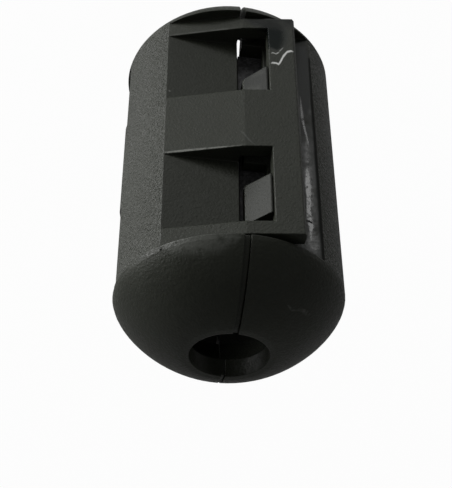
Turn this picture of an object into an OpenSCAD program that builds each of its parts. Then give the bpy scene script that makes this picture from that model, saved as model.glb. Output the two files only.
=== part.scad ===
// Clip-on ferrite bead: two domed half-cases on a snap hinge close round a cable.
// Each half-case holds half of a split ferrite core, pressed inward by sprung tongues.
// The cable runs along Y, the hinge is underneath and the latch plate is on top.

/* [Core] */
// Length of the split core
core_length = 14.6; // [10:0.1:30]
// Outside radius of the core
core_radius = 4.85; // [4:0.05:8]
// Radius of the cable hole through the core
core_bore_radius = 2.5; // [1.5:0.05:3.5]
// Depth of the flats on the core's latch and hinge sides
core_side_flat_depth = 0.85; // [0.3:0.05:1.5]
// Gap between the two half cores
core_gap = 0.04; // [0:0.01:0.3]
// Clearance between a core and its pocket
core_clearance = 0.1; // [0.05:0.01:0.3]

/* [Case] */
// Wall of the round body outside the pocket
case_wall = 1.55; // [1.2:0.05:2.5]
// Distance from each end of the core to the shoulder of the dome
shoulder_margin = 1.35; // [1:0.05:3]
// Length of each domed end
dome_length = 3.35; // [2.4:0.05:8]
// Fullness of the dome's outline, where 2 is an ellipse
dome_power = 1.4; // [1.2:0.05:2.5]
// Radius of the cable hole in each domed end
end_hole_radius = 2.2; // [1.5:0.05:3]
// Width of the flat rim round each end hole
end_rim_width = 0.35; // [0.2:0.05:1]
// Thickness of the wall at the end hole
end_wall = 1.1; // [0.8:0.05:2]
// Width of the ledge that stops each end of the core
core_ledge = 0.7; // [0.4:0.05:1.2]
// Wall under the latch flat
latch_flat_wall = 0.7; // [0.5:0.05:1.5]
// Wall under the hinge flat
hinge_flat_wall = 1.7; // [1.5:0.05:2.2]
// Gap between the half-cases at the latch
seam_gap_latch = 0.34; // [0.1:0.02:0.6]
// Gap between the half-cases at the hinge
seam_gap_hinge = 0.16; // [0.1:0.02:0.4]
// Gap that the lip of one domed end leaves to the other half-case
lip_gap = 0.04; // [0.03:0.01:0.1]
// Depth of that lip below the dome's surface
lip_depth = 0.1; // [0.05:0.01:0.3]

/* [Latch plate] */
// Rise of the plate's top above the latch flat at the seam
plate_rise_seam = 1.35; // [1:0.05:2]
// Rise of the plate's top above the latch flat at its free edge
plate_rise_edge = 1.75; // [1.2:0.05:2.4]
// Distance from the seam plane to the plate's free edge
plate_reach = 3.12; // [2.6:0.02:4]
// Thickness of the plate
plate_thickness = 0.85; // [0.5:0.05:1.2]
// Width of the bar that closes the windows
plate_bar_width = 1.62; // [0.8:0.02:2.5]
// Gap between the plate's ends and the shoulders
plate_end_gap = 0.3; // [0.1:0.05:0.8]
// Width of the ramp between the two windows
middle_ramp_width = 4.4; // [2:0.1:6]
// Width of the ramp beside each shoulder
end_ramp_width = 1.15; // [0.6:0.05:2]
// Bevel along the plate's free edge
plate_edge_bevel = 0.15; // [0.05:0.01:0.3]

/* [Hooks] */
// Distance from the seam plane to the foot of each hook's ramp
hook_start = 0.22; // [0.2:0.02:0.6]
// Rise of each hook above the latch flat
hook_rise = 1.3; // [0.8:0.05:2]
// Rise of the foot of each hook's ramp
hook_foot_rise = 0.08; // [0:0.01:0.3]
// Width of the flat crest of each hook
hook_crest_width = 0.1; // [0.1:0.02:0.5]
// Clearance between a hook's catch face and the bar
latch_clearance = 0.05; // [0.03:0.01:0.3]
// Gap between the hook nearer the middle and the middle ramp
near_hook_inner_gap = 0.15; // [0.1:0.05:1]
// Gap between that hook and the end ramp
near_hook_outer_gap = 3.1; // [2:0.05:3.5]
// Gap between the hook further from the middle and the middle ramp
far_hook_inner_gap = 1.8; // [1:0.05:3]
// Gap between that hook and the end ramp
far_hook_outer_gap = 0.8; // [0.3:0.05:1.5]

/* [Hinge] */
// Distance between the middles of the two hinges
hinge_pitch = 8.8; // [7:0.1:20]
// Length of each C-shaped hook
hinge_length = 3.35; // [2:0.05:5]
// Radius of the hinge pins
pin_radius = 0.5; // [0.4:0.02:0.7]
// Running clearance between a pin and its hook
pin_clearance = 0.06; // [0.02:0.01:0.1]
// Distance of the pins below the hinge flat
pin_drop = 0.65; // [0.6:0.05:1]
// Distance of the pins from the seam plane, towards the latch half
pin_offset = 0.3; // [0.1:0.05:0.6]
// Wall of each C-shaped hook
hinge_wall = 0.54; // [0.4:0.02:0.8]
// Width of the flat foot under each hook, centred below the seam
foot_width = 1.55; // [1:0.05:1.8]
// Angle of the mouth that snaps over the pin
mouth_angle = 80; // [50:5:100]
// Direction that the mouth faces, counted up from the hook half's side
mouth_direction = 95; // [95:5:110]
// Clearance round the hook where the other half turns past it
turn_clearance = 0.12; // [0.08:0.01:0.3]
// Thickness of the ears that carry each pin
ear_thickness = 0.4; // [0.3:0.05:0.8]
// Gap between an ear and the end of the hook
ear_gap = 0.1; // [0.05:0.01:0.3]
// Width of the rail that joins each pair of ears
rail_width = 0.4; // [0.2:0.05:0.8]
// Height of that rail
rail_height = 0.4; // [0.2:0.05:0.5]

/* [Back panel] */
// Angle between the middle of the back panel and the side of the bead, towards the hinge
panel_turn = 9; // [0:1:15]
// Depth of the flat down the panel
panel_depth = 0.22; // [0.1:0.02:0.5]
// Width of each window
window_width = 4.1; // [3.4:0.1:4.6]
// Length of the panel between the two windows
window_bridge = 6.6; // [4:0.1:8]
// Gap between a window's end and the shoulder
window_end_gap = 0.1; // [0.05:0.05:1]
// Width of each sprung tongue
tongue_width = 2.6; // [2:0.1:3]
// Length of each tongue
tongue_length = 2.95; // [2:0.05:3.5]
// Thickness of each tongue
tongue_thickness = 0.6; // [0.4:0.05:0.7]
// Fall of the tongue from its root to its tip
tongue_fall = 0.15; // [0:0.05:0.3]
// Height of the pad under the tongue's tip
pad_height = 0.1; // [0.05:0.01:0.3]
// Length of the pad
pad_length = 0.8; // [0.4:0.1:1.5]

/* [Hidden] */
$fn = 96;
// Overlap that joins solids of one piece, and the overshoot of a cut
merge = 0.2;
over = 1;
// Number of straight steps along a dome's outline
dome_steps = 20;

core_side_flat = core_radius - core_side_flat_depth;
pocket_radius = core_radius + core_clearance;
pocket_side_flat = core_side_flat + core_clearance;
pocket_half = core_length / 2 + core_clearance;

body_radius = pocket_radius + case_wall;
shoulder_half = core_length / 2 + shoulder_margin;
case_half = shoulder_half + dome_length;
latch_flat = pocket_side_flat + latch_flat_wall;
hinge_flat = pocket_side_flat + hinge_flat_wall;
panel_flat = body_radius - panel_depth;
rim_radius = end_hole_radius + end_rim_width;
cavity_radius = core_radius - core_ledge;
cavity_half = case_half - end_wall;
latch_flat_half = sqrt(pow(body_radius, 2) - pow(latch_flat, 2));
// Side of the squares that cut away everything beyond a flat
reach = 2 * body_radius;
seam = -seam_gap_latch / 2;

plate_top_seam = latch_flat + plate_rise_seam;
plate_top_edge = latch_flat + plate_rise_edge;
plate_half = shoulder_half - plate_end_gap;
bar_start = plate_reach - plate_bar_width;
slot_inner = middle_ramp_width / 2;
slot_outer = shoulder_half - end_ramp_width;

hook_end = bar_start - latch_clearance;
near_hook_span = [slot_inner + near_hook_inner_gap, slot_outer - near_hook_outer_gap];
far_hook_span = [-slot_outer + far_hook_outer_gap, -slot_inner - far_hook_inner_gap];

pin_x = -pin_offset;
pin_z = -(hinge_flat + pin_drop);
hinge_bore_radius = pin_radius + pin_clearance;
hinge_outer_radius = hinge_bore_radius + hinge_wall;
foot_low = pin_offset - foot_width / 2;
foot_high = pin_offset + foot_width / 2;
turn_radius = norm([hinge_outer_radius, hinge_bore_radius]) + turn_clearance;
ear_radius = pin_drop - turn_clearance / 2;
ear_start = hinge_length / 2 + ear_gap;
ear_end = ear_start + ear_thickness;
rail_inner = norm([foot_high, hinge_outer_radius]) + turn_clearance;
rail_outer = rail_inner + rail_width;
rail_corner = [-rail_outer, pin_drop - rail_height];
web_reach = hinge_outer_radius + pin_drop;
axis_height = hinge_outer_radius - pin_z;

window_inner = window_bridge / 2;
window_outer = shoulder_half - window_end_gap;
tongue_inner = core_radius + pad_height;

// Radius of the dome's outline at a fraction of its length
function dome_radius(u) =
    rim_radius + (body_radius - rim_radius) * pow(1 - pow(u, dome_power), 1 / dome_power);

// Outline of one end of the bead, set in by a depth, from the middle of its length to the end rim
function half_outline(depth = 0) = concat(
    [[0, 0], [body_radius - depth, 0]],
    [for (i = [0 : dome_steps])
        let (u = sin(90 * i / dome_steps))
        [dome_radius(u) - depth, shoulder_half + (dome_length - depth) * u]],
    [[0, case_half - depth]]
);

// Outline of a dome's cavity, which rounds in from the core's ledge to the end hole
function cavity_outline() = concat(
    [[0, 0]],
    [for (i = [0 : dome_steps])
        let (a = 90 * i / dome_steps)
        [end_hole_radius + (cavity_radius - end_hole_radius) * cos(a),
         shoulder_half + (cavity_half - shoulder_half) * sin(a)]],
    [[end_hole_radius, case_half + over], [0, case_half + over]]
);

// Point at a radius and an angle
function polar(radius, angle) = radius * [cos(angle), sin(angle)];

// Point where a line from a corner touches a circle round the pin, on its lower side
function touch_point(corner, radius) =
    polar(radius, atan2(corner[1], corner[0]) + acos(radius / norm(corner)));

// A revolved solid on the bead's axis, turned to both ends
module revolved_ends(outline) {
    for (turn = [-90, 90])
        rotate([turn, 0, 0])
            rotate_extrude()
                polygon(outline);
}

// A profile in X and Z, drawn out along Y from low to high
module along_cable(low, high) {
    translate([0, high, 0])
        rotate([90, 0, 0])
            linear_extrude(height = high - low)
                children();
}

// The same piece at both ends, mirrored about the middle of the length
module at_both_ends() {
    for (flip = [0, 1])
        mirror([0, flip, 0])
            children();
}

// The cross-section of the core or of its pocket
module core_section(radius, side_flat) {
    intersection() {
        circle(r = radius);
        square([2 * radius, 2 * side_flat], center = true);
    }
}

// The same piece placed on the hook half's back panel
module on_back_panel() {
    rotate([0, panel_turn, 0])
        children();
}

// The outside of the closed bead, with its flats cut between the shoulders
module case_blank() {
    difference() {
        revolved_ends(half_outline());
        along_cable(-shoulder_half, shoulder_half) {
            translate([-reach, latch_flat])
                square([2 * reach, reach]);
            translate([-reach, -hinge_flat - reach])
                square([2 * reach, reach]);
        }
        on_back_panel()
            along_cable(-shoulder_half, shoulder_half)
                translate([panel_flat, -reach])
                    square([reach, 2 * reach]);
    }
}

// The space inside the closed bead: core pocket, dome cavities and cable holes
module case_space() {
    along_cable(-pocket_half, pocket_half)
        core_section(pocket_radius, pocket_side_flat);
    revolved_ends(cavity_outline());
}

// The hook half's side of the seam, which narrows from the latch to the hinge
module seam_side() {
    along_cable(-case_half - over, case_half + over)
        polygon([
            [seam_gap_hinge / 2, -body_radius],
            [seam_gap_hinge / 2, -reach],
            [reach, -reach],
            [reach, reach],
            [seam_gap_latch / 2, reach],
            [seam_gap_latch / 2, body_radius]
        ]);
}

// The lip on the latch half that closes the seam in the domed end on the -Y side
module seam_lip() {
    intersection() {
        difference() {
            revolved_ends(half_outline(lip_depth));
            case_space();
        }
        along_cable(-case_half, -shoulder_half)
            polygon([
                [seam - merge, -hinge_flat],
                [seam_gap_hinge / 2 - lip_gap, -hinge_flat],
                [seam_gap_latch / 2 - lip_gap, body_radius],
                [seam - merge, body_radius]
            ]);
    }
}

// A sprung tongue that reaches out from between the back windows and bears on the core
module tongue() {
    root = window_inner - merge;
    tip = window_inner + tongue_length;
    translate([0, 0, -tongue_width / 2])
        linear_extrude(height = tongue_width)
            polygon([
                [tongue_inner + tongue_fall, root],
                [tongue_inner + tongue_fall + tongue_thickness, root],
                [tongue_inner + tongue_thickness, tip],
                [core_radius, tip],
                [core_radius, tip - pad_length],
                [tongue_inner, tip - pad_length]
            ]);
}

// One half-case's shell on the hook half's side, with its back windows and tongues
module half_shell() {
    difference() {
        intersection() {
            case_blank();
            seam_side();
        }
        case_space();
        on_back_panel()
            at_both_ends()
                translate([cavity_radius - over, window_inner, -window_width / 2])
                    cube([reach, window_outer - window_inner, window_width]);
    }
    on_back_panel()
        at_both_ends()
            tongue();
}

// The two wedge hooks that catch behind the plate's bar, one in each of its windows
module latch_hooks() {
    for (span = [near_hook_span, far_hook_span])
        along_cable(span[0], span[1])
            polygon([
                [hook_start, latch_flat - merge],
                [hook_end, latch_flat - merge],
                [hook_end, latch_flat + hook_rise],
                [hook_end - hook_crest_width, latch_flat + hook_rise],
                [hook_start, latch_flat + hook_foot_rise]
            ]);
}

// The openings through the latch flat, down to the core, on the +Y side of each hook
module hook_openings() {
    spans = [[near_hook_span[1], slot_outer], [far_hook_span[1], -slot_inner]];
    for (span = spans)
        translate([-over, span[0], pocket_side_flat - over])
            cube([over + hook_end, span[1] - span[0], reach]);
}

// The ramps that carry the latch plate up from the latch half to the seam
module latch_ramps() {
    ramp_spans = [
        [-shoulder_half - merge, -slot_outer],
        [-slot_inner, slot_inner],
        [slot_outer, shoulder_half + merge]
    ];
    for (span = ramp_spans)
        along_cable(span[0], span[1])
            polygon([
                [-latch_flat_half, latch_flat],
                [-latch_flat_half, latch_flat - merge],
                [seam, latch_flat - merge],
                [seam, plate_top_seam + plate_rise_seam * seam / latch_flat_half]
            ]);
}

// The latch plate over the hook half, with a window for each hook
module latch_plate() {
    difference() {
        along_cable(-plate_half, plate_half)
            polygon([
                [2 * seam, plate_top_seam + 2 * plate_rise_seam * seam / latch_flat_half],
                [2 * seam, plate_top_seam - plate_thickness],
                [0, plate_top_seam - plate_thickness],
                [plate_reach, plate_top_edge - plate_thickness],
                [plate_reach, plate_top_edge - plate_edge_bevel],
                [plate_reach - plate_edge_bevel, plate_top_edge],
                [0, plate_top_seam]
            ]);
        at_both_ends()
            translate([bar_start - reach, slot_inner, 0])
                cube([reach, slot_outer - slot_inner, reach]);
    }
}

// A C-shaped hinge hook with its flat foot, centred on the pin
module hinge_hook() {
    difference() {
        along_cable(-hinge_length / 2, hinge_length / 2)
            polygon([
                [foot_low, -hinge_outer_radius],
                [foot_high, -hinge_outer_radius],
                [web_reach - merge, -hinge_bore_radius],
                [web_reach, pin_drop + merge],
                [0, pin_drop + merge],
                [-hinge_bore_radius, hinge_outer_radius - merge],
                [-hinge_outer_radius, hinge_bore_radius],
                [-hinge_outer_radius, -hinge_bore_radius]
            ]);
        rotate([90, 0, 0])
            cylinder(r = hinge_bore_radius, h = hinge_length + over, center = true);
        along_cable(-hinge_length, hinge_length)
            polygon([
                [0, 0],
                polar(2 * web_reach, mouth_direction - mouth_angle / 2),
                polar(2 * web_reach, mouth_direction + mouth_angle / 2)
            ]);
    }
}

// An ear that carries one end of a pin, from the gap beside the hook outward
module pin_ear() {
    along_cable(ear_start, ear_end) {
        circle(r = ear_radius);
        polygon([
            [0, 0],
            [0, pin_drop + merge],
            [-rail_outer, pin_drop + merge],
            rail_corner,
            touch_point(rail_corner, ear_radius)
        ]);
    }
}

// A hinge pin between its two ears, with the rail behind them
module hinge_pin() {
    rotate([90, 0, 0])
        cylinder(r = pin_radius, h = ear_start + ear_end, center = true);
    at_both_ends()
        pin_ear();
    along_cable(-ear_end, ear_end)
        polygon([
            [-rail_inner, pin_drop + merge],
            [-rail_outer, pin_drop + merge],
            rail_corner,
            [-rail_inner, pin_drop - rail_height]
        ]);
}

// The space that a hinge hook needs in the latch half as the bead opens
module hook_relief() {
    rotate([90, 0, 0])
        cylinder(r = turn_radius, h = 2 * ear_start, center = true);
}

// Both hinges' places on the pin line
module at_hinges() {
    for (y = [-hinge_pitch / 2, hinge_pitch / 2])
        translate([pin_x, y, pin_z])
            children();
}

// Half of the split core, on the hook half's side
module half_core() {
    along_cable(-core_length / 2, core_length / 2)
        difference() {
            core_section(core_radius, core_side_flat);
            circle(r = core_bore_radius);
            translate([core_gap / 2 - reach, -reach])
                square([reach, 2 * reach]);
        }
}

module hook_half_case() {
    color([0.1, 0.1, 0.11])
        translate([0, 0, axis_height]) {
            difference() {
                half_shell();
                hook_openings();
            }
            latch_hooks();
            at_hinges()
                hinge_hook();
        }
}

module latch_half_case() {
    color([0.11, 0.11, 0.12])
        translate([0, 0, axis_height]) {
            difference() {
                mirror([1, 0, 0])
                    half_shell();
                at_hinges()
                    hook_relief();
            }
            seam_lip();
            latch_ramps();
            latch_plate();
            at_hinges()
                hinge_pin();
        }
}

module hook_half_core() {
    color([0.3, 0.3, 0.31])
        translate([0, 0, axis_height])
            half_core();
}

module latch_half_core() {
    color([0.32, 0.32, 0.33])
        translate([0, 0, axis_height])
            mirror([1, 0, 0])
                half_core();
}

hook_half_case();
latch_half_case();
hook_half_core();
latch_half_core();
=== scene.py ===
# Clip-on ferrite bead, dressed for looks: textured black nylon halves round a split ferrite core
import bpy, bmesh
from mathutils import Matrix, Vector

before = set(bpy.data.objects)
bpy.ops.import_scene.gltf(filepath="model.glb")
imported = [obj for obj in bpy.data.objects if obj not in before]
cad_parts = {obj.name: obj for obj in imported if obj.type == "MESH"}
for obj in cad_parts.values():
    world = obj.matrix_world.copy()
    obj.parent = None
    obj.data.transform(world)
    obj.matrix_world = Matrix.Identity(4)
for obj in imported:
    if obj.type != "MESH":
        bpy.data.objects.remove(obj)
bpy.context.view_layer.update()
print("frame loaded")

mm = 0.001


def newMaterial(name):
    mat = bpy.data.materials.new(name)
    mat.use_nodes = True
    mat.node_tree.nodes.clear()
    return mat


def addNode(mat, kind, **sockets):
    node = mat.node_tree.nodes.new(kind)
    for key, value in sockets.items():
        node.inputs[key].default_value = value
    return node


def join(mat, fromSocket, toSocket):
    mat.node_tree.links.new(fromSocket, toSocket)


def feed(mat, value, toSocket):  # a socket is linked, a plain number is written in
    if isinstance(value, bpy.types.NodeSocket):
        join(mat, value, toSocket)
    else:
        toSocket.default_value = value


def calc(mat, operation, first, second=0.0):
    node = addNode(mat, "ShaderNodeMath")
    node.operation = operation
    feed(mat, first, node.inputs[0])
    feed(mat, second, node.inputs[1])
    return node.outputs["Value"]


def remap(mat, value, fromRange, toRange=(0, 1), smooth=False):
    node = addNode(mat, "ShaderNodeMapRange")
    node.interpolation_type = "SMOOTHSTEP" if smooth else "LINEAR"
    node.inputs["From Min"].default_value, node.inputs["From Max"].default_value = fromRange
    node.inputs["To Min"].default_value, node.inputs["To Max"].default_value = toRange
    join(mat, value, node.inputs["Value"])
    return node.outputs["Result"]


# a mix node repeats the names of its sockets, so its first, second and result go by place
mixPlaces = {"RGBA": (6, 7, 2), "FLOAT": (2, 3, 0)}


def blend(mat, kind, cover, first, second):
    node = addNode(mat, "ShaderNodeMix")
    node.data_type = kind
    firstPlace, secondPlace, resultPlace = mixPlaces[kind]
    feed(mat, cover, node.inputs[0])
    feed(mat, first, node.inputs[firstPlace])
    feed(mat, second, node.inputs[secondPlace])
    return node.outputs[resultPlace]


def blendColour(mat, cover, first, second):
    return blend(mat, "RGBA", cover, first, second)


def blendNumber(mat, cover, first, second):
    return blend(mat, "FLOAT", cover, first, second)


def noise(mat, position, perMm, detail=2, roughness=0.5):
    node = addNode(mat, "ShaderNodeTexNoise", Scale=perMm, Detail=detail, Roughness=roughness)
    join(mat, position, node.inputs["Vector"])
    return node.outputs["Fac"]


def positionInMm(mat):
    coords = addNode(mat, "ShaderNodeTexCoord")
    scaled = addNode(mat, "ShaderNodeVectorMath")
    scaled.operation = "SCALE"
    scaled.inputs["Scale"].default_value = 1 / mm
    join(mat, coords.outputs["Object"], scaled.inputs[0])
    parts = addNode(mat, "ShaderNodeSeparateXYZ")
    join(mat, scaled.outputs["Vector"], parts.inputs[0])
    return scaled.outputs["Vector"], parts.outputs


def follow(mat, value, pairs):  # a number that follows another one through a list of points
    lowIn, highIn = pairs[0][0], pairs[-1][0]
    lowOut = min(pair[1] for pair in pairs)
    highOut = max(pair[1] for pair in pairs)
    spread = max(highOut - lowOut, 1e-6)  # above zero for a level line too
    curve = addNode(mat, "ShaderNodeFloatCurve")
    points = curve.mapping.curves[0].points
    while len(points) < len(pairs):
        points.new(0.5, 0.5)  # moved to its place below
    for point, (given, wanted) in zip(points, pairs):
        point.location = ((given - lowIn) / (highIn - lowIn), (wanted - lowOut) / spread)
        point.handle_type = "VECTOR"
    curve.mapping.update()
    join(mat, remap(mat, value, (lowIn, highIn)), curve.inputs["Value"])
    return remap(mat, curve.outputs["Value"], (0, 1), (lowOut, lowOut + spread))


def coverOfStroke(mat, position, axes, look):  # 1 inside a stroke drawn on the skin, 0 outside it
    along = axes[look["along"]]
    middle = follow(mat, along, [(p[0], p[1]) for p in look["points"]])
    width = follow(mat, along, [(p[0], p[2]) for p in look["points"]])
    offset = calc(mat, "ABSOLUTE", calc(mat, "SUBTRACT", axes[look["across"]], middle))
    edge = calc(mat, "DIVIDE", calc(mat, "SUBTRACT", width, offset), look["soft"])
    cover = remap(mat, edge, (-0.5, 0.5), smooth=True)
    reach = (look["points"][0][0], look["points"][-1][0])
    for value, (low, high) in ((axes["Z"], look["height"]), (along, reach)):
        above = calc(mat, "GREATER_THAN", value, low)
        below = calc(mat, "LESS_THAN", value, high)
        cover = calc(mat, "MULTIPLY", cover, calc(mat, "MULTIPLY", above, below))
    patchNoise = noise(mat, position, look["patchPerMm"], detail=3)
    patchy = remap(mat, patchNoise, look["patches"], smooth=True)
    cover = calc(mat, "MULTIPLY", cover, patchy)
    return calc(mat, "MULTIPLY", cover, look["strength"])


nylonLook = {
    "base": (0.0188, 0.0212, 0.0145, 1),
    "faded": (0.0300, 0.0330, 0.0245, 1),
    "specular": 0.3,
    "roughness": (0.42, 0.58),
    "cloudPerMm": 0.26,
    "cloudRange": (0.35, 0.75),
    "cloud": (0, 0.6),  # how far the clouds pale the colour
    "mottlePerMm": 3.2,
    "mottleRange": (0.35, 0.7),
    "mottle": 0.6,  # how far the mottle pales the colour
    "mottleShare": (0.5, 1),  # of mottle and sparkle on the flats and on the round body
    "grainPerMm": 7.5,
    "grainRange": (0.3, 0.7),
    "sparkle": (0.14, -0.14),  # rougher in the grain's hollows, smoother on its crests
    "bodyGrain": 0.15 * mm,
    "domeGrain": 0.03 * mm,
    "flatGrain": 0.032 * mm,  # on the flats, the latch plate and everything inside
    "roundFrom": 6.2,  # the skin further than this from the axis is round and coarser
    "axisHeight": 7.55,  # of the cable hole above the feet
    "latchFlat": 12.33,  # height of the flats under the plate, which are smooth
    "shoulder": 8.65,  # where the domed ends begin
    "edgeRadius": 0.1 * mm,
    "edgeSamples": 8,
    "edgeWear": 0.5,
    "edgeTurn": (0.99, 0.85),  # cosine of the skin's turn where the wear begins and is full
}

# strokes drawn on the skin, each inside its own range of height: many are painted highlights,
# glints, sheen, reflections or shade, and some also change the polish; a point is (along, across,
# half width) in mm, and where the half width is below zero the stroke fades out within its soft
# edge; rough replaces the skin's roughness and grain is a share of the depth of its grain
latchMarks = {
    # painted highlight: a pale line along the edge of the near window, where the light catches it
    "windowEdgeNearHighlight": {
        "along": "X", "across": "Y", "height": (12.3, 13.9), "soft": 0.05,
        "points": [(-4.4, -2.08, 0), (-4.1, -2.09, 0.06), (-3.0, -2.10, 0.08),
                   (-2.0, -2.11, 0.06), (-0.9, -2.12, 0.04), (0.0, -2.13, 0)],
        "colour": (0.16, 0.165, 0.15, 1), "rough": 0.4, "grain": 0.5, "strength": 0.9,
        "patchPerMm": 1.6, "patches": (0.3, 0.55),
    },
    # painted highlight: a fainter pale line along the edge of the far window
    "windowEdgeFarHighlight": {
        "along": "X", "across": "Y", "height": (12.3, 13.9), "soft": 0.05,
        "points": [(-4.4, 7.60, 0), (-4.0, 7.60, 0.04), (-1.0, 7.59, 0.05), (0.0, 7.58, 0)],
        "colour": (0.08, 0.083, 0.075, 1), "rough": 0.4, "grain": 0.5, "strength": 0.6,
        "patchPerMm": 1.6, "patches": (0.3, 0.6),
    },
    # painted highlight: a pale line where the plate bends at the crease beside the seam
    "creaseHighlight": {
        "along": "X", "across": "Y", "height": (13.5, 14.0), "soft": 0.12,
        "points": [(-0.3, -1.0, 0), (-0.1, -1.25, 0.08), (0.2, -1.75, 0.09), (0.6, -2.2, 0)],
        "colour": (0.07, 0.074, 0.066, 1), "rough": 0.4, "grain": 0.5, "strength": 0.6,
        "patchPerMm": 2.5, "patches": (0.2, 0.5),
    },
    # painted glint: a pale squiggle on the bar that stands in for light glinting off it
    "glintLong": {
        "along": "X", "across": "Y", "height": (13.6, 14.2), "soft": 0.11,
        "points": [(1.58, 4.40, 0), (1.68, 4.46, 0.06), (1.88, 4.44, 0.06), (2.04, 4.34, 0.08),
                   (2.16, 4.58, 0.14), (2.32, 4.99, 0.14), (2.57, 5.40, 0.09),
                   (2.80, 5.50, 0.07), (2.96, 5.42, 0)],
        "colour": (0.66, 0.67, 0.65, 1), "rough": 0.22, "grain": 0.2, "strength": 1.0,
        "patchPerMm": 2.5, "patches": (0.1, 0.3),
    },
    # painted glint, shorter and fainter than the one above
    "glintShort": {
        "along": "X", "across": "Y", "height": (13.6, 14.2), "soft": 0.05,
        "points": [(1.60, 5.25, 0), (1.72, 5.33, 0.05), (1.92, 5.22, 0.04), (2.05, 5.36, 0.08),
                   (2.30, 5.70, 0.06), (2.42, 5.85, 0)],
        "colour": (0.45, 0.46, 0.44, 1), "rough": 0.22, "grain": 0.2, "strength": 0.9,
        "patchPerMm": 3.0, "patches": (0.35, 0.5),
    },
    # a polished patch at the bar's far end, its colour painted near black as a painted dark
    # reflection
    "polishedEndDarkReflection": {
        "along": "Y", "across": "X", "height": (13.6, 14.2), "soft": 0.9,
        "points": [(5.3, 2.1, -0.3), (5.8, 1.9, 0.5), (6.5, 1.75, 0.8), (7.2, 1.8, 0.75),
                   (7.7, 1.7, 0.6), (8.3, 1.5, -0.2)],
        "colour": (0.0050, 0.0078, 0.0070, 1), "rough": 0.2, "grain": 0.1, "strength": 1.0,
        "patchPerMm": 1.0, "patches": (0.0, 0.3),
    },
    # painted shade across the plate's far end, where the far dome's shoulder shades it
    "shadedFarEnd": {
        "along": "X", "across": "Y", "height": (13.6, 14.2), "soft": 0.6,
        "points": [(-0.2, 8.3, -0.3), (0.7, 8.15, 0.5), (2.2, 8.1, 0.75), (3.2, 8.2, 0.5)],
        "colour": (0.0070, 0.0088, 0.0072, 1), "rough": 0.3, "grain": 0.5, "strength": 0.95,
        "patchPerMm": 1.2, "patches": (0.1, 0.5),
    },
    # painted light: the left side of the round body painted paler where the light from the left
    # falls on it
    "paintedLitSide": {
        "along": "Y", "across": "X", "height": (8.0, 12.33), "soft": 1.6,
        "points": [(-8.65, -5.6, 2.6), (-4.0, -5.6, 2.2), (2.0, -5.6, 1.0), (6.0, -5.6, -0.8)],
        "colour": (0.0420, 0.0450, 0.0365, 1), "grain": 1.2, "strength": 0.95,
        "patchPerMm": 2.5, "patches": (0.1, 0.7),
    },
    "speck": {
        "along": "X", "across": "Y", "height": (12.3, 12.4), "soft": 0.05,
        "points": [(-4.28, 2.8, 0), (-4.2, 2.8, 0.06), (-4.12, 2.8, 0)],
        "colour": (0.16, 0.165, 0.15, 1), "rough": 0.4, "grain": 0.5, "strength": 0.9,
        "patchPerMm": 1.0, "patches": (0.0, 0.2),
    },
    # painted highlight: a pale band where the rounded edge of the near dome's shoulder catches the
    # light
    "shoulderRimHighlight": {
        "along": "X", "across": "Y", "height": (12.5, 14.2), "soft": 0.55,
        "points": [(-5.4, -8.8, -0.3), (-4.6, -8.85, 0.1), (-3.4, -8.95, 0.32), (-2.2, -9.05, 0.5),
                   (-1.2, -9.0, 0.45), (-0.6, -8.9, 0.2), (-0.2, -8.8, -0.3)],
        "colour": (0.078, 0.082, 0.072, 1), "rough": 0.42, "grain": 0.6, "strength": 0.85,
        "patchPerMm": 2.2, "patches": (0.2, 0.55),
    },
}
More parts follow.
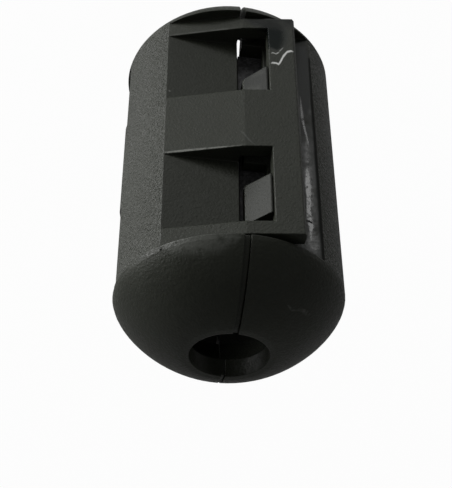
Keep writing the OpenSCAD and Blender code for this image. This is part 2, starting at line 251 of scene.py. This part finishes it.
hookMarks = {
    "hookFaces": {
        "along": "Y", "across": "X", "height": (12.45, 13.8), "soft": 0.1,
        "points": [(-8.0, 0.8, 1.0), (8.0, 0.8, 1.0)],
        "colour": (0.0120, 0.0138, 0.0096, 1), "rough": 0.62, "grain": 0.7, "strength": 0.9,
        "patchPerMm": 1.0, "patches": (0.0, 0.3),
    },
    # painted shade: the far hook painted darker, where it lies partly in shade
    "farHookShade": {
        "along": "Y", "across": "X", "height": (12.45, 13.8), "soft": 0.1,
        "points": [(1.0, 0.8, 1.0), (8.0, 0.8, 1.0)],
        "colour": (0.0072, 0.0086, 0.0062, 1), "rough": 0.7, "grain": 0.8, "strength": 0.8,
        "patchPerMm": 1.4, "patches": (0.1, 0.6),
    },
    "domeScuff": {
        "along": "X", "across": "Y", "height": (9.5, 12.2), "soft": 0.06,
        "points": [(2.45, -11.0, 0), (2.75, -11.05, 0.06), (3.1, -10.98, 0.02),
                   (3.35, -10.9, 0.05), (3.7, -10.84, 0.08), (3.9, -10.8, 0)],
        "colour": (0.08, 0.083, 0.074, 1), "rough": 0.4, "grain": 0.6, "strength": 0.8,
        "patchPerMm": 2.5, "patches": (0.35, 0.6),
    },
    # painted shade: a dark line along the edge where the flat strip meets the round body
    "edgeShadeLine": {
        "along": "Y", "across": "X", "height": (12.2, 12.5), "soft": 0.08,
        "points": [(-8.6, 4.29, 0.12), (-4.0, 4.32, 0.12), (3.0, 4.33, 0.10), (7.0, 4.36, 0.06)],
        "colour": (0.0035, 0.0040, 0.0030, 1), "rough": 0.9, "grain": 0.6, "strength": 0.9,
        "patchPerMm": 1.0, "patches": (0.0, 0.2),
    },
    # a smoother strip on the flat beside the plate, also painted paler as a painted sheen
    "smoothSheenStrip": {
        "along": "Y", "across": "X", "height": (12.3, 12.4), "soft": 0.1,
        "points": [(-8.6, 3.7, 0.55), (2.0, 3.8, 0.48), (5.0, 3.9, 0.35), (8.0, 4.0, 0.2)],
        "colour": (0.0235, 0.0275, 0.0245, 1), "rough": 0.34, "grain": 0.25, "strength": 0.8,
        "patchPerMm": 1.0, "patches": (0.2, 0.6),
    },
    # painted shade: the far part of the flat strip painted darker
    "farStripShade": {
        "along": "Y", "across": "X", "height": (12.3, 12.4), "soft": 0.2,
        "points": [(1.5, 3.9, -0.2), (2.6, 3.9, 0.25), (4.0, 3.9, 0.4), (7.5, 3.9, 0.4),
                   (8.6, 3.9, 0.3)],
        "colour": (0.0075, 0.0100, 0.0085, 1), "rough": 0.5, "grain": 0.4, "strength": 0.75,
        "patchPerMm": 1.0, "patches": (0.1, 0.5),
    },
    # a thin glossy line on the flat strip, also painted paler as a painted sheen
    "thinSheenLine": {
        "along": "Y", "across": "X", "height": (12.3, 12.4), "soft": 0.08,
        "points": [(-0.5, 3.95, 0), (-0.1, 3.92, 0.04), (0.8, 3.79, 0.06), (1.6, 3.69, 0.08),
                   (2.8, 3.66, 0.05), (3.6, 3.64, 0)],
        "colour": (0.03, 0.032, 0.028, 1), "rough": 0.19, "grain": 0.06, "strength": 0.95,
        "patchPerMm": 1.6, "patches": (0.1, 0.4),
    },
    # painted sheen: a broad pale band on the flat strip, also smoother
    "sheen": {
        "along": "Y", "across": "X", "height": (12.3, 12.4), "soft": 0.5,
        "points": [(-8.3, 3.76, 0.1), (-7.7, 3.80, 0.36), (-7.2, 3.80, 0.26), (-6.5, 3.82, 0.2),
                   (-5.5, 3.93, 0.1), (-4.5, 3.92, 0.17), (-3.5, 3.87, 0.24), (-2.5, 3.83, 0.2),
                   (-1.5, 3.82, 0.14), (-0.6, 3.82, 0.1), (0.2, 3.83, 0.02), (1.0, 3.83, -0.25)],
        "colour": (0.042, 0.045, 0.038, 1), "rough": 0.22, "grain": 0.15, "strength": 1.0,
        "patchPerMm": 4.5, "patches": (0.15, 0.7),
    },
    # a polished streak on the flat strip, also painted paler as a painted reflection of the light
    "polishedSheenStreak": {
        "along": "Y", "across": "X", "height": (12.3, 12.4), "soft": 0.12,
        "points": [(-7.4, 3.72, 0), (-6.9, 3.74, 0.06), (-6.5, 3.77, 0.12), (-6.25, 3.76, 0.15),
                   (-5.9, 3.71, 0.12), (-5.5, 3.70, 0.13), (-4.6, 3.73, 0.13), (-3.6, 3.76, 0.16),
                   (-2.9, 3.76, 0.13), (-2.4, 3.76, 0.06), (-1.8, 3.78, -0.06)],
        "colour": (0.050, 0.057, 0.048, 1), "rough": 0.14, "grain": 0.06, "strength": 1.0,
        "patchPerMm": 5.0, "patches": (0.26, 0.52),
    },
    "notch": {
        "along": "X", "across": "Y", "height": (12.3, 12.4), "soft": 0.05,
        "points": [(3.45, -5.97, 0), (3.55, -6.00, 0.05), (3.8, -6.11, 0.05), (3.92, -6.16, 0)],
        "colour": (0.0050, 0.0060, 0.0045, 1), "rough": 0.8, "grain": 0.8, "strength": 0.9,
        "patchPerMm": 1.0, "patches": (0.0, 0.2),
    },
}


def makeNylon(name, look, marks):
    mat = newMaterial(name)
    out = addNode(mat, "ShaderNodeOutputMaterial")
    skin = addNode(mat, "ShaderNodeBsdfPrincipled")
    skin.inputs["Specular IOR Level"].default_value = look["specular"]
    position, axes = positionInMm(mat)

    # round skin is moulded coarser than the flats and the plate
    rise = calc(mat, "SUBTRACT", axes["Z"], look["axisHeight"])
    acrossSquared = calc(mat, "MULTIPLY", axes["X"], axes["X"])
    riseSquared = calc(mat, "MULTIPLY", rise, rise)
    radius = calc(mat, "SQRT", calc(mat, "ADD", acrossSquared, riseSquared))
    onBody = calc(mat, "GREATER_THAN", radius, look["roundFrom"])
    onBody = calc(mat, "MULTIPLY", onBody, calc(mat, "LESS_THAN", axes["Z"], look["latchFlat"]))
    onDome = calc(mat, "GREATER_THAN", calc(mat, "ABSOLUTE", axes["Y"]), look["shoulder"])
    depth = blendNumber(mat, onBody, look["flatGrain"], look["bodyGrain"])
    depth = blendNumber(mat, onDome, depth, look["domeGrain"])

    cloud = noise(mat, position, look["cloudPerMm"], detail=4, roughness=0.6)
    mottle = noise(mat, position, look["mottlePerMm"], detail=3, roughness=0.6)
    grain = noise(mat, position, look["grainPerMm"])
    share = remap(mat, onBody, (0, 1), look["mottleShare"])
    pale = calc(mat, "MULTIPLY", remap(mat, mottle, look["mottleRange"]), look["mottle"])
    pale = calc(mat, "MULTIPLY", pale, share)
    pale = calc(mat, "ADD", pale, remap(mat, cloud, look["cloudRange"], look["cloud"]))
    colour = blendColour(mat, pale, look["base"], look["faded"])
    rough = remap(mat, cloud, (0, 1), look["roughness"])
    sparkle = remap(mat, grain, look["grainRange"], look["sparkle"])
    rough = calc(mat, "ADD", rough, calc(mat, "MULTIPLY", sparkle, share))

    # a soft corner, a little paler where hands and other parts rub it
    corner = addNode(mat, "ShaderNodeBevel", Radius=look["edgeRadius"])
    corner.samples = look["edgeSamples"]
    shape = addNode(mat, "ShaderNodeNewGeometry")
    turn = addNode(mat, "ShaderNodeVectorMath")
    turn.operation = "DOT_PRODUCT"
    join(mat, corner.outputs["Normal"], turn.inputs[0])
    join(mat, shape.outputs["True Normal"], turn.inputs[1])
    rub = remap(mat, turn.outputs["Value"], look["edgeTurn"], smooth=True)
    rub = calc(mat, "MULTIPLY", rub, calc(mat, "MULTIPLY", mottle, look["edgeWear"]))
    colour = blendColour(mat, rub, colour, look["faded"])

    for mark in marks.values():
        cover = coverOfStroke(mat, position, axes, mark)
        colour = blendColour(mat, cover, colour, mark["colour"])
        rough = blendNumber(mat, cover, rough, mark.get("rough", rough))
        depth = calc(mat, "MULTIPLY", depth, blendNumber(mat, cover, 1.0, mark["grain"]))
    join(mat, colour, skin.inputs["Base Color"])
    join(mat, rough, skin.inputs["Roughness"])

    bump = addNode(mat, "ShaderNodeBump", Strength=1)
    join(mat, depth, bump.inputs["Distance"])
    join(mat, grain, bump.inputs["Height"])
    join(mat, corner.outputs["Normal"], bump.inputs["Normal"])
    join(mat, bump.outputs["Normal"], skin.inputs["Normal"])
    join(mat, skin.outputs["BSDF"], out.inputs["Surface"])
    return mat


ferriteLook = {
    "dark": (0.050, 0.050, 0.052, 1),
    "pale": (0.115, 0.115, 0.118, 1),
    "speckPerMm": 6.0,
    "speckRange": (0.25, 0.85),
    "rough": 0.62,
    "grainDepth": 0.02 * mm,
    "grainStrength": 0.4,
}


def makeFerrite(name, look):
    mat = newMaterial(name)
    out = addNode(mat, "ShaderNodeOutputMaterial")
    skin = addNode(mat, "ShaderNodeBsdfPrincipled", Roughness=look["rough"])
    position = positionInMm(mat)[0]
    speck = addNode(mat, "ShaderNodeTexVoronoi", Scale=look["speckPerMm"])
    join(mat, position, speck.inputs["Vector"])
    grain = noise(mat, position, look["speckPerMm"], detail=3)
    tones = addNode(mat, "ShaderNodeValToRGB")
    for stop, place, tone in zip(tones.color_ramp.elements, look["speckRange"], ("dark", "pale")):
        stop.position = place
        stop.color = look[tone]
    join(mat, speck.outputs["Color"], tones.inputs["Fac"])
    join(mat, tones.outputs["Color"], skin.inputs["Base Color"])
    bump = addNode(mat, "ShaderNodeBump", Strength=look["grainStrength"])
    bump.inputs["Distance"].default_value = look["grainDepth"]
    join(mat, grain, bump.inputs["Height"])
    join(mat, bump.outputs["Normal"], skin.inputs["Normal"])
    join(mat, skin.outputs["BSDF"], out.inputs["Surface"])
    return mat


ferrite = makeFerrite("sinteredFerrite", ferriteLook)
finishes = {
    "hook_half_case": makeNylon("hookHalfNylon", nylonLook, hookMarks),
    "latch_half_case": makeNylon("latchHalfNylon", nylonLook, latchMarks),
    "hook_half_core": ferrite,
    "latch_half_core": ferrite,
}
for nodeName, mat in finishes.items():
    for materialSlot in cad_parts[nodeName].material_slots:
        materialSlot.material = mat
print("materials assigned")

# the floor lies low enough for the latch half to swing right open above it
floorLook = {"size": 0.6, "height": -11.5 * mm, "colour": (0.5, 0.5, 0.5, 1), "white": 0.97}


def makeFloor(look):
    bm = bmesh.new()
    bmesh.ops.create_grid(bm, x_segments=1, y_segments=1, size=look["size"] / 2)
    bmesh.ops.translate(bm, verts=bm.verts, vec=(0, 0, look["height"]))
    mesh = bpy.data.meshes.new("floor")
    bm.to_mesh(mesh)
    bm.free()
    floor = bpy.data.objects.new("floor", mesh)
    bpy.context.scene.collection.objects.link(floor)
    mat = newMaterial("paleFloor")
    out = addNode(mat, "ShaderNodeOutputMaterial")
    matte = addNode(mat, "ShaderNodeBsdfDiffuse", Color=look["colour"])
    glow = addNode(mat, "ShaderNodeEmission", Color=(1, 1, 1, 1), Strength=1)
    rays = addNode(mat, "ShaderNodeLightPath")
    seen = calc(mat, "MULTIPLY", rays.outputs["Is Camera Ray"], look["white"])
    either = addNode(mat, "ShaderNodeMixShader")
    join(mat, seen, either.inputs["Fac"])
    join(mat, matte.outputs["BSDF"], either.inputs[1])
    join(mat, glow.outputs["Emission"], either.inputs[2])
    join(mat, either.outputs["Shader"], out.inputs["Surface"])
    floor.data.materials.append(mat)


makeFloor(floorLook)

lightLook = {
    "target": (0, 0, 7.5 * mm),
    "room": 0.14,
    "backdrop": 0.98,
    "lamps": {  # distances and sizes in metres
        "far": {"from": (-0.32, 0.58, 0.75), "distance": 0.26, "size": 0.10, "watts": 0.097},
        "left": {"from": (-0.90, 0.42, 0.14), "distance": 0.26, "size": 0.18, "watts": 1.00},
        "right": {"from": (0.85, 0.50, 0.12), "distance": 0.26, "size": 0.08, "watts": 0.03},
        "strip": {"from": (0.20, 0.63, 0.75), "distance": 0.26, "size": 0.045, "watts": 0.04},
        "back": {"from": (0.20, 0.97, 0.08), "distance": 0.26, "size": 0.15, "watts": 0.05},
    },
}


def addLamp(name, look, target):
    data = bpy.data.lights.new(name, "AREA")
    data.shape = "SQUARE"
    data.size = look["size"]
    data.energy = look["watts"]
    lamp = bpy.data.objects.new(name, data)
    direction = Vector(look["from"]).normalized()
    lamp.location = Vector(target) + direction * look["distance"]
    lamp.rotation_euler = direction.to_track_quat("Z", "Y").to_euler()
    lamp.visible_camera = False  # a lamp behind the bead would show as a bright square
    bpy.context.scene.collection.objects.link(lamp)


for lampName, lampLook in lightLook["lamps"].items():
    addLamp(lampName + "Lamp", lampLook, lightLook["target"])

world = bpy.data.worlds.new("softRoom")
world.use_nodes = True
bpy.context.scene.world = world
sky = world.node_tree.nodes["Background"]
sky.inputs["Color"].default_value = (1, 1, 1, 1)
# the camera sees a white backdrop, and everything else gets the room's own light
backdrop = world.node_tree.nodes.new("ShaderNodeLightPath")
level = world.node_tree.nodes.new("ShaderNodeMapRange")
level.inputs["To Min"].default_value = lightLook["room"]
level.inputs["To Max"].default_value = lightLook["backdrop"]
world.node_tree.links.new(backdrop.outputs["Is Camera Ray"], level.inputs["Value"])
world.node_tree.links.new(level.outputs["Result"], sky.inputs["Strength"])
print("lights and floor ready")

cameraLook = {
    "position": (-7.83, -42.08, 56.10),  # in mm
    "right": (0.9882, -0.0042, 0.1532),
    "up": (-0.0899, 0.7935, 0.6018),
    "lens": 78.22,
    "sensor": 36,
    "nearest": 0.002,
    "farthest": 5,
}


def addCamera(look):
    data = bpy.data.cameras.new("camera")
    data.lens = look["lens"]
    data.sensor_width = look["sensor"]
    data.clip_start = look["nearest"]
    data.clip_end = look["farthest"]
    right = Vector(look["right"]).normalized()
    up = Vector(look["up"])
    up = (up - right * up.dot(right)).normalized()
    back = right.cross(up)
    turn = Matrix((right, up, back)).transposed().to_4x4()
    cam = bpy.data.objects.new("camera", data)
    cam.matrix_world = Matrix.Translation(Vector(look["position"]) * mm) @ turn
    bpy.context.scene.collection.objects.link(cam)
    bpy.context.scene.camera = cam


addCamera(cameraLook)
bpy.context.scene.view_settings.view_transform = "Standard"
print("camera ready")
